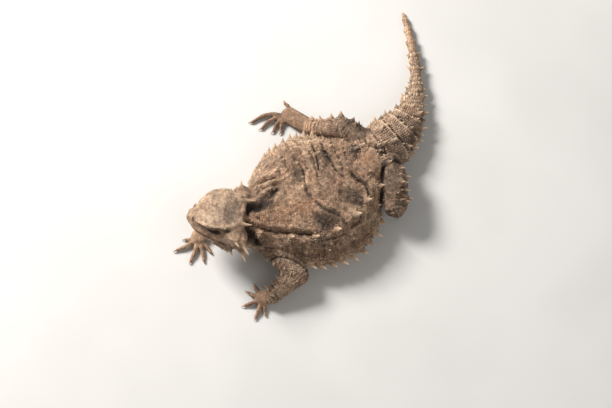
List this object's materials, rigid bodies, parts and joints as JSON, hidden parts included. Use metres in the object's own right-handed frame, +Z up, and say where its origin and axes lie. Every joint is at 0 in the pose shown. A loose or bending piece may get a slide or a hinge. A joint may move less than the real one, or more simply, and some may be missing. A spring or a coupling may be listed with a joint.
{
  "type": "horned lizard figure",
  "caption": "Life-size still model of a broad, flat-bodied horned lizard resting on its belly with its head raised, its limbs folded out and its tail curved to one side.",
  "frame": {"origin": "on the floor, in the middle of the flat under the belly", "axes": "-X towards the head, +Y towards the side the tail curves to, +Z up"},
  "size_m": [0.0988, 0.1285, 0.0259],
  "materials": {
    "skin": "matte",
    "horn": "satin",
    "eye": "gloss"
  },
  "bodies": {
    "root": {"eye_left": "eye", "eye_right": "eye", "head": "skin", "horn_occipital_left": "horn", "horn_occipital_right": "horn", "horn_temporal_1_left": "horn", "horn_temporal_1_right": "horn", "horn_temporal_2_left": "horn", "horn_temporal_2_right": "horn", "horn_temporal_3_left": "horn", "horn_temporal_3_right": "horn", "left_foot": "skin", "left_forearm": "skin", "left_hand": "skin", "left_shank": "skin", "left_thigh": "skin", "left_upper_arm": "skin", "neck": "skin", "right_foot": "skin", "right_forearm": "skin", "right_hand": "skin", "right_shank": "skin", "right_thigh": "skin", "right_upper_arm": "skin", "tail_base": "skin", "tail_middle": "skin", "tail_tip": "skin", "trunk": "skin"}
  },
  "joints": []
}
